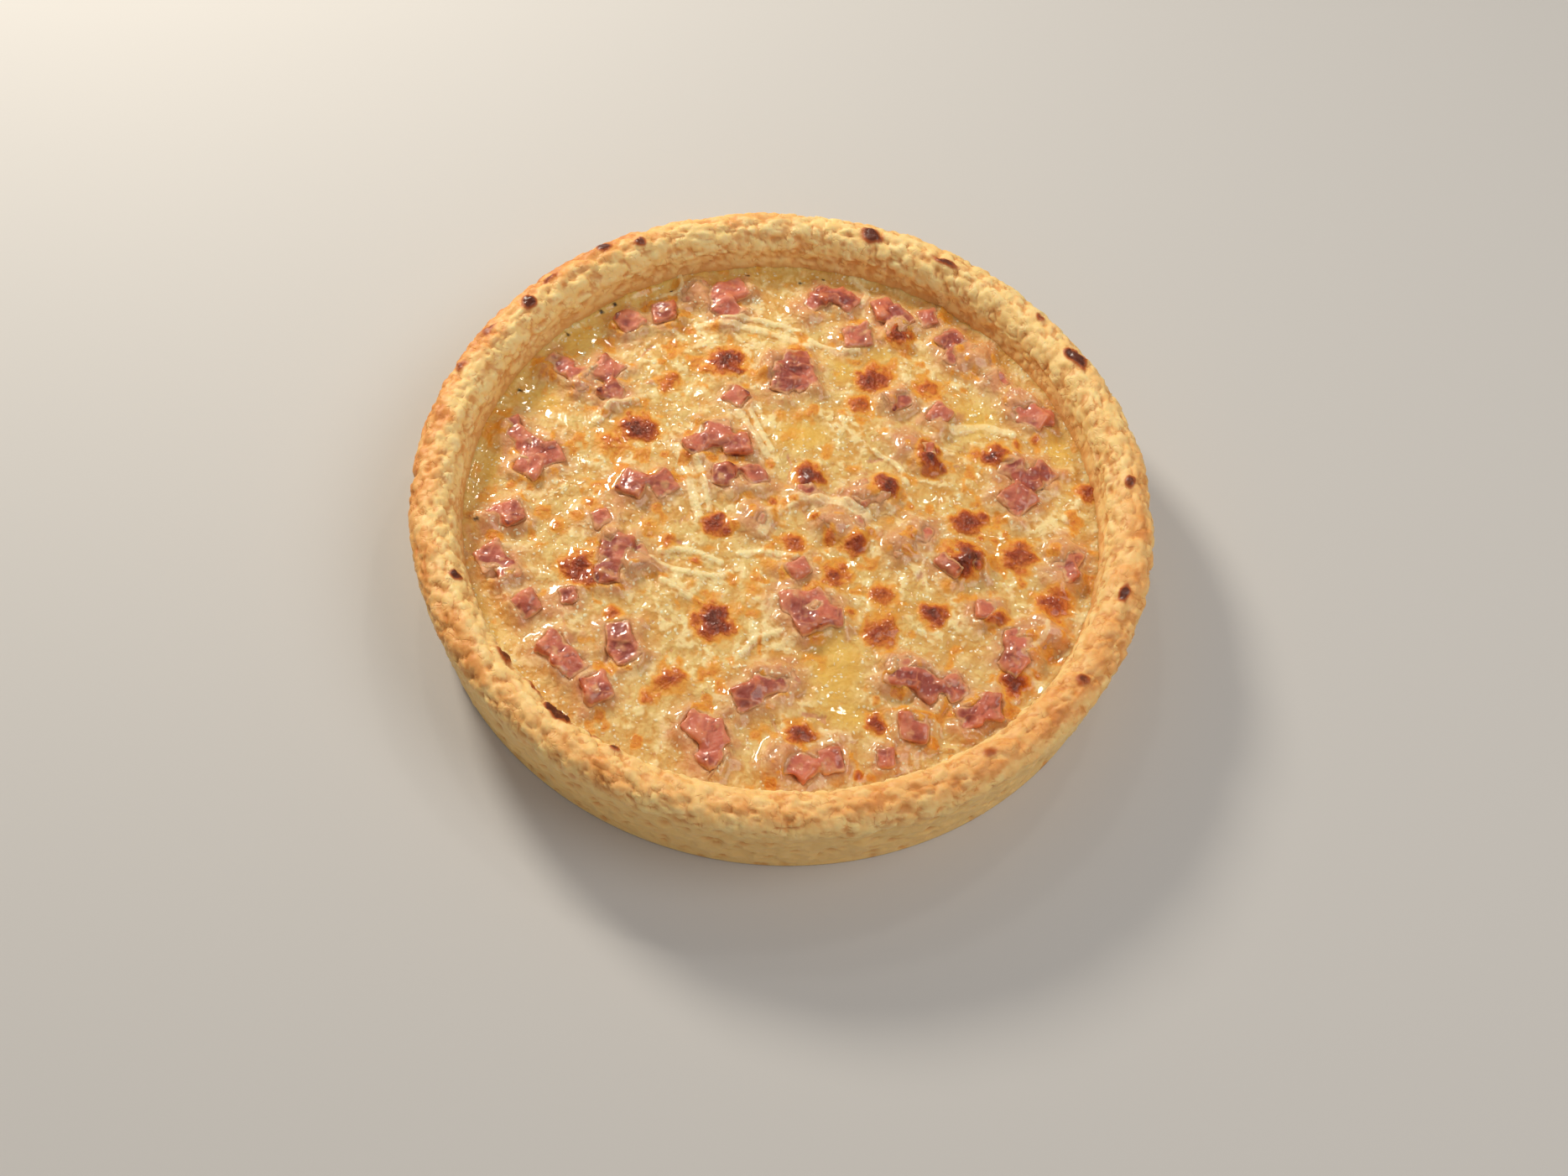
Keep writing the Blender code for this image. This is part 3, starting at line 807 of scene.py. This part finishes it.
        outer = ease(section, torn - 2.5, torn + 4) * ease(section, 17, 9)
        outer += 0.35 * ease(section, torn - 0.6, torn + 0.6) * ease(section, 15, 9)
        # The rim's top goes darker towards the front, which faces away from the lamps: partly toast, partly
        # painted shade.
        front_shade = (0.5 - 0.5 * np.sin(bearing)) ** 2
        patchy = (0.05 + 0.12 * one_side) * broad
        toast = outer * (0.02 + 0.44 * one_side + 0.28 * other_side + patchy + 0.1 * fine)
        toast += 0.2 * bell(section - 8, 4) * (one_side + 0.3 * other_side) * (0.7 + 0.4 * broad)
        crown = ease(section, -10, -4) * ease(section, 8, 1)
        toast += crown * (0.36 * other_side + 0.26 * front_shade + 0.08 * broad)
        toast *= 0.75 + 0.5 * mark
        # Painted shade: the cracks, slits and pits are painted ochre.
        ochre_shade = 0.4 * slit + 0.65 * crack**2 * scaly + 0.35 * crack2**2 * scaly + pit
        # Painted highlight on the raised flakes, less where the rim is toasted.
        raised = ease(0.6 * mound + 0.5 * lean + 0.3 * mound2 + 0.3 * lean2, 0.5, 1.0) * scaly
        paint(case, "pale", np.clip(raised * (1 - toast), 0, 1))
        paint(case, "toast", toast * (1 - 0.8 * near_filling))
        # Near the filling and low on the inside wall: the wet fat's own colour, and painted shade and light
        # bounced from the cheese.
        paint(case, "crease_shade", np.clip(ochre_shade + 0.7 * near_filling + 0.35 * ease(section, -7, -15), 0, 1))
        paint(case, "burn", burn)
        paint(case, "face", outer_wall)
        finish_piece(case, "crust_skin", pastry_material(look), "pastry", "crust")
        return {"FINISHED"}


def cheese_level(look, points):
    """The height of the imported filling's top in millimetres: a low dome with soft lumps."""
    share = np.minimum(1, away_from(points) / (look.radius / MM))
    places = (Vector((x / LUMP_SPACING, y / LUMP_SPACING, 0)) for x, y, _ in points)
    lumps = np.array([noise.fractal(place, 1.0, 2.0, 2) for place in places])
    return look.level / MM + look.dome / MM * (1 - share**2) + LUMP_HEIGHT * lumps * (1 - share**6)


def ham_around(points):
    """Each point's distance from the ham in mm, below 0 inside it and 9 at most, and the ham's top."""
    reach = np.full(len(points), 9.0)
    tops = points[:, 2].copy()
    down = Vector((0, 0, -1))
    for name in HAM_NODES:
        low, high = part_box(name)
        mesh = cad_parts[name].data
        faces = [list(face.vertices) for face in mesh.polygons]
        tree = BVHTree.FromPolygons([vert.co for vert in mesh.vertices], faces)
        close = (points[:, 0] > low.x / MM - HAM_MARGIN) & (points[:, 0] < high.x / MM + HAM_MARGIN)
        close &= (points[:, 1] > low.y / MM - HAM_MARGIN) & (points[:, 1] < high.y / MM + HAM_MARGIN)
        for at in np.flatnonzero(close):
            place = Vector(points[at] * MM)
            spot, normal, _, gap = tree.find_nearest(place)
            side = -1 if (place - spot).dot(normal) < 0 else 1
            if side * gap / MM < reach[at]:
                reach[at] = side * gap / MM
                over = place if side < 0 else spot - 0.0006 * normal
                hit = tree.ray_cast(Vector((over.x, over.y, 0.05)), down)[0]
                if hit:
                    tops[at] = hit.z / MM
    return reach, tops


def shred_paths(points):
    """The relief of the shreds that keep their shape: soft ridges along smooth lines."""
    relief = np.zeros(len(points))
    for half_width, *stops in SHREDS:
        stops = np.array(stops, float)
        ghost = np.vstack([2 * stops[0] - stops[1], stops, 2 * stops[-1] - stops[-2]])
        share = np.linspace(0, len(stops) - 1, 12 * len(stops))
        leg = np.minimum(share.astype(int), len(stops) - 2)
        t = (share - leg)[:, None]
        before, here, there, after = (ghost[leg + step] for step in range(4))
        line = here + 0.5 * ((there - before) * t + (2 * before - 5 * here + 4 * there - after) * t**2)
        line += 0.5 * (3 * here - before - 3 * there + after) * t**3
        inside = (points[:, :2] > line.min(0) - 4) & (points[:, :2] < line.max(0) + 4)
        close = np.flatnonzero(np.all(inside, axis=1))
        near = np.full(len(close), 99.0)
        for start, end in zip(line[:-1], line[1:]):
            way = end - start
            along = np.clip(((points[close, :2] - start) @ way) / max(way @ way, 1e-9), 0, 1)
            near = np.minimum(near, np.linalg.norm(points[close, :2] - start - along[:, None] * way, axis=1))
        relief[close] = np.maximum(relief[close], np.clip(1.3 - (near / (1.5 * half_width)) ** 2, 0, 1))
    return relief


def shred_ridges(points, count, seed):
    """The relief of grated cheese that has half melted: many short arcs in all directions."""
    draw = np.random.default_rng(seed)
    relief = np.zeros(len(points))
    for _ in range(count):
        middle = draw.uniform(-SHRED_SPREAD, SHRED_SPREAD, 2)
        turn, bend, reach = draw.uniform(0, math.tau), draw.uniform(8, 34), draw.uniform(6, 20)
        width, height = draw.uniform(0.7, 1.15), draw.uniform(0.25, 0.6)
        hub = middle - bend * np.array((math.cos(turn), math.sin(turn)))
        close = np.flatnonzero(away_from(points, *middle) < reach / 2 + 3)
        way = points[close, :2] - hub
        off = np.abs(away_from(way) - bend)
        swing = np.abs((bearing_of(way) - turn + math.pi) % math.tau - math.pi) * bend
        ridge = height * bell(off, width) * ease(swing, reach / 2 + 1.5, reach / 2 - 1.5)
        relief[close] = np.maximum(relief[close], ridge)
    return relief


class QUICHE_OT_filling(bpy.types.Operator):
    """Models the melted cheese with its blisters, grains and shreds over the custard"""

    bl_idname = "quiche.filling"
    bl_label = "Cheese and custard"
    bl_options = {"REGISTER", "UNDO"}

    def execute(self, context):
        look = context.scene.quiche_filling
        start_fresh(context)
        bpy.ops.mesh.primitive_circle_add(vertices=4 * look.grid, radius=look.radius, location=(0, 0, 0))
        cheese = context.object
        bpy.ops.object.mode_set(mode="EDIT")
        bpy.ops.mesh.select_all(action="SELECT")
        bpy.ops.mesh.fill_grid(span=look.grid, use_interp_simple=True)
        bpy.ops.object.mode_set(mode="OBJECT")
        points = points_of(cheese)
        level = cheese_level(look, points)
        radius = away_from(points)
        points[:, 2] = 0
        warp = noise_push(points, 5.5, 60, 2, axes=2)
        warped = points.copy()
        warped[:, :2] += 1.4 * warp

        yellow = np.zeros(len(points))
        for x, y, wide, deep in YELLOW_PATCHES:
            gap = np.hypot((warped[:, 0] - x) / wide, (warped[:, 1] - y) / deep)
            yellow = np.maximum(yellow, ease(gap, 1.35, 0.35))
        rim = ease(radius, 95, 102)
        back_left = facing(bearing_of(points), 140)
        yellow = np.maximum(yellow, rim * (0.05 + 0.6 * back_left**2))

        _, near, second, mark = cell_noise(warped, 2.6, 70, flat=True)
        grain = mound_over(near * 1.2)
        seam = bell(second - near, 0.14)
        _, near2, second2, _ = cell_noise(warped, 6.4, 75, flat=True)
        curd = mound_over(near2 * 1.1)
        seam2 = bell(second2 - near2, 0.12)
        shreds = shred_ridges(warped, SHRED_COUNT, 5)
        slight = points.copy()
        slight[:, :2] += 0.35 * warp
        strands = shred_paths(slight)
        roughness = 0.55 + 0.45 * soft_noise(points, 17, 80, 2)
        calm = 1 - 0.4 * yellow
        fine = soft_noise(points, 1.5, 84, 2)
        small = calm * 0.16 * grain * (0.4 + mark) * roughness
        small += calm * (0.3 * curd - 0.06 * seam2) + 0.5 * calm * shreds
        small += 0.3 * soft_noise(points, 4.5, 83)
        # Painted highlight on the raised tops; the shreds are also paler of their own.
        pale = ease(small, 0.1, 0.75)
        relief = small + 0.4 * soft_noise(points, 9, 82, 2) + 0.03 * calm * fine + 0.75 * strands

        # The cheese climbs the sides of the ham, and runs over it in places.
        reach, tops = ham_around(np.column_stack([points[:, :2], level]))
        web = soft_noise(points + 300, 8.5, 96, 2) + 0.2 * fine
        drape = ease(web, 0.08, 0.22)
        beside = bell(np.maximum(reach, 0), 1.7 + drape)
        rise = np.maximum(tops - level, 0)
        climb = beside * ((0.55 + 0.35 * soft_noise(points, 5, 97)) * rise + 0.3 + drape * (0.5 * rise - 0.1))
        over = ease(reach, -0.6, -1.6)
        covering = drape * (rise + 1.2) - 1.2 * (1 - drape)
        lift = np.where(reach > 0, climb, (1 - over) * climb + over * covering)
        near_ham = np.exp(-np.maximum(reach, 0) / 2.6) * (1 - 0.6 * yellow)
        # Lumps of ham show through the cheese round each clump.
        buried = ease(soft_noise(points + 77, 3.4, 98), -0.1, 0.5) * ease(reach, 7, 2) * ease(reach, 0, 1.2)
        lift = neighbours_mean(cheese, (lift + 0.9 * buried * calm)[:, None], 3)[:, 0]

        brown = np.zeros(len(points))
        blisters = np.zeros(len(points))
        for x, y, wide, dark in BLISTERS:
            gap = away_from(warped, x, y) / wide + 0.5 * soft_noise(points + (x, y, 0), 3.2, 90, 3)
            brown = np.maximum(brown, dark * ease(gap, 1.75, -0.05))
            blisters = np.maximum(blisters, dark * ease(gap, 1.1, 0.1))
        blistered = 1.0 + 0.55 * grain * mark - 0.35 * seam + 0.2 * fine
        relief = relief * (1 - 0.5 * blisters) + blisters * blistered
        drift = soft_noise(points, 6, 93, 2) + 0.35 * soft_noise(points, 23, 94)
        spots = soft_noise(points, 3.2, 95) + 0.4 * fine
        brown = np.maximum(brown, 0.36 * ease(drift, -0.1, 0.45) * ease(spots, -0.35, 0.45) * calm)

        points[:, 2] = level + relief - 0.35 - 0.4 * rim + lift
        points[:, 2] += 1.2 * ease(radius, 101.8, 104.5)

        speck = np.zeros(len(points))
        for x, y in PEPPER:
            speck = np.maximum(speck, ease(away_from(points, x, y), 0.9, 0.5))
        move_points(cheese, points)
        paint(cheese, "brown", brown)
        paint(cheese, "yellow", yellow)
        paint(cheese, "near_ham", np.maximum(near_ham, 0.8 * buried))
        # Painted shade in the seams between the grains and curds.
        paint(cheese, "crease_shade", np.clip(0.7 * seam + 0.6 * seam2 - shreds, 0, 1))
        paint(cheese, "speck", speck)
        paint(cheese, "pale", np.maximum(pale, 1.7 * strands))

        bpy.ops.object.mode_set(mode="EDIT")
        bpy.ops.mesh.select_mode(type="VERT")
        bpy.ops.mesh.select_all(action="DESELECT")
        bpy.ops.mesh.select_non_manifold(extend=False)
        extrude(0, 0, -CHEESE_DEPTH)
        bpy.ops.mesh.extrude_region_move()
        squeeze = (CHEESE_TAPER, CHEESE_TAPER, 0)
        bpy.ops.transform.resize(value=squeeze, center_override=(0, 0, look.bottom))
        bpy.ops.mesh.edge_face_add()
        face_outwards()
        finish_piece(cheese, "cheese_skin", cheese_material(look), "cheese", "filling")
        return {"FINISHED"}


def height_over(tree, points):
    """How far each point stands above the cheese in millimetres."""
    height = np.full(len(points), -9.0)
    for at in np.flatnonzero(points[:, 2] > 20):
        x, y, z = points[at]
        hit = tree.ray_cast(Vector((x * MM, y * MM, 0.06)), Vector((0, 0, -1)))[0]
        height[at] = z - hit.z / MM if hit else 9.0
    return height


def dress_ham(ham, rounded, edge, number, tree):
    """Dents and tears the meat, and paints browning, cheese film, deep red, and painted light: paler tops,
    shaded sides, lit edges.
    """
    move_points(ham, rounded)
    normals = normals_of(ham)
    place = rounded + (number * 3.7, number * 1.3, 0)
    fine = soft_noise(place, 1.4, 103, 2)
    _, near, second, mark = cell_noise(place + 0.8 * fine[:, None], 4.4, 107)
    tear = bell(second - near, 0.09) * ease(soft_noise(place, 5, 108), -0.2, 0.3)
    pore = ease(mark, 0.72, 0.8) * bell(near, 0.2)
    ridge = bell(soft_noise(place, 3.8, 109), 0.13)
    relief = soft_noise(place, 5.2, 101, 2) + 0.35 * soft_noise(place, 2.6, 102) + 0.1 * fine
    relief += 0.16 * ridge - 0.35 * tear - 0.4 * pore
    relief += 0.15 * ease(edge, 0.1, 0.5) - 0.05
    points = rounded + normals * relief[:, None]
    move_points(ham, points)
    high = ease(points[:, 2] - CHEESE_TOP, 1.2, 3.6)
    browned = np.zeros(len(points))
    for x, y, wide, dark in BLISTERS:
        gap = away_from(points, x, y) / wide + 0.25 * fine
        browned = np.maximum(browned, dark * ease(gap, 1.5, 0.2))
    patchy = ease(soft_noise(place, 5.5, 111), -0.15, 0.5)
    crisp = np.clip((0.75 * ease(edge, 0.1, 0.45) + 0.35 * ridge) * high * patchy + browned, 0, 1)
    film = ease(height_over(tree, points), 2.2, 0.0) + 0.8 * soft_noise(place, 4.2, 113, 2)
    hue = hashed(np.array([[number, 5, 11]]), 3)[0]
    # Painted light: upward faces lighter, sides darker, on top of the meat's own random tone.
    tone_and_shade = 0.2 + 0.35 * hue + 0.15 * normals[:, 2] + 0.8 * soft_noise(place, 6, 117) + 0.2 * fine - 0.4 * tear
    # The edge mask: the cooked rim and a painted highlight along the rounded edges.
    paint(ham, "edge", np.clip(edge * 1.8 + 0.55 * ridge, 0, 1))
    paint(ham, "crisp", crisp)
    paint(ham, "film", np.clip(film, 0, 1))
    paint(ham, "tone_and_shade", np.clip(tone_and_shade, 0, 1))


class QUICHE_OT_ham(bpy.types.Operator):
    """Softens each packed clump of dice into moist ham with torn faces and browned edges"""

    bl_idname = "quiche.ham"
    bl_label = "Diced ham"
    bl_options = {"REGISTER", "UNDO"}

    def execute(self, context):
        look = context.scene.quiche_ham
        material = ham_material(look)
        tree = BVHTree.FromObject(bpy.data.objects["cheese_skin"], context.evaluated_depsgraph_get())
        for number, name in enumerate(HAM_NODES):
            start_fresh(context)
            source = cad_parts[name]
            ham = bpy.data.objects.new(name + "_meat", source.data.copy())
            context.collection.objects.link(ham)
            ham.select_set(True)
            context.view_layer.objects.active = ham
            bpy.ops.object.mode_set(mode="EDIT")
            bpy.ops.mesh.select_all(action="SELECT")
            bpy.ops.mesh.remove_doubles(threshold=0.00001)
            bpy.ops.object.mode_set(mode="OBJECT")
            remesh = ham.modifiers.new("Remesh", "REMESH")
            remesh.mode = "VOXEL"
            remesh.voxel_size = look.voxel
            bpy.ops.object.modifier_apply(modifier=remesh.name)
            points = points_of(ham)
            rounded = neighbours_mean(ham, points, HAM_ROUNDING)
            softer = neighbours_mean(ham, rounded, HAM_SOFTENING)
            move_points(ham, rounded)
            edge = np.sum((rounded - softer) * normals_of(ham), axis=1)
            dress_ham(ham, rounded, edge, number, tree)
            finish_piece(ham, name + "_meat", material, "ham", name)
        return {"FINISHED"}


class QUICHE_OT_stage(bpy.types.Operator):
    """Adds the pale floor, the soft studio light and the camera"""

    bl_idname = "quiche.stage"
    bl_label = "Stage"
    bl_options = {"REGISTER", "UNDO"}

    def execute(self, context):
        look = context.scene.quiche_stage
        start_fresh(context)
        bpy.ops.mesh.primitive_plane_add(size=6.0, location=(0, 0, -0.0002))
        floor = context.object
        floor.name = "floor"
        made, shader, place = start_material("pale_floor")
        drift = noise_wire(place, 0.4)
        Wire.feed(shader, Base_Color=colour_mix(drift * 0.15, tuple(look.floor), FLOOR_SHADE), Roughness=0.8)
        floor.data.materials.append(made)

        for name, place, size, power, colour in LIGHTS:
            bpy.ops.object.light_add(type="AREA", location=place)
            light = context.object
            light.name = name
            light.data.shape = "DISK"
            light.data.size = size
            light.data.energy = power
            light.data.color = colour
            light.rotation_euler = (-Vector(place)).to_track_quat("-Z", "Y").to_euler()
        world = bpy.data.worlds.new("studio")
        world.use_nodes = True
        background = world.node_tree.nodes["Background"].inputs
        background[0].default_value = (0.96, 0.95, 0.94, 1)
        background[1].default_value = 0.24
        context.scene.world = world
        context.scene.view_settings.view_transform = "Standard"

        bpy.ops.object.camera_add()
        camera = context.object
        camera.data.lens = look.lens
        camera.data.sensor_width = 36.0
        camera.data.clip_start = 0.01
        back = Vector((0, -math.cos(look.pitch), math.sin(look.pitch)))
        camera.location = Vector(look.target) + back * look.distance
        tilt = Matrix.Rotation(math.pi / 2 - look.pitch, 3, "X") @ Matrix.Rotation(look.roll, 3, "Z")
        camera.rotation_euler = tilt.to_euler()
        context.scene.camera = camera
        return {"FINISHED"}


class QUICHE_PT_panel(bpy.types.Panel):
    bl_label = "Quiche"
    bl_idname = "QUICHE_PT_panel"
    bl_space_type = "VIEW_3D"
    bl_region_type = "UI"
    bl_category = "Quiche"

    def draw(self, context):
        for settings in GROUPS:
            column = self.layout.column(align=True)
            column.operator(settings.replace("_", "."))
            group = getattr(context.scene, settings)
            for name in group.__annotations__:
                column.prop(group, name)


GROUPS = {
    "quiche_crust": QuicheCrustSettings,
    "quiche_filling": QuicheFillingSettings,
    "quiche_ham": QuicheHamSettings,
    "quiche_stage": QuicheStageSettings,
}
OPERATORS = (QUICHE_OT_crust, QUICHE_OT_filling, QUICHE_OT_ham, QUICHE_OT_stage, QUICHE_PT_panel)


def register():
    for name, group in GROUPS.items():
        bpy.utils.register_class(group)
        setattr(bpy.types.Scene, name, PointerProperty(type=group))
    for made in OPERATORS:
        bpy.utils.register_class(made)


def unregister():
    for made in reversed(OPERATORS):
        bpy.utils.unregister_class(made)
    for name, group in GROUPS.items():
        delattr(bpy.types.Scene, name)
        bpy.utils.unregister_class(group)


def main():
    register()
    bpy.ops.quiche.crust()
    bpy.ops.quiche.filling()
    bpy.ops.quiche.ham()
    bpy.ops.quiche.stage()


if __name__ == "__main__":
    main()
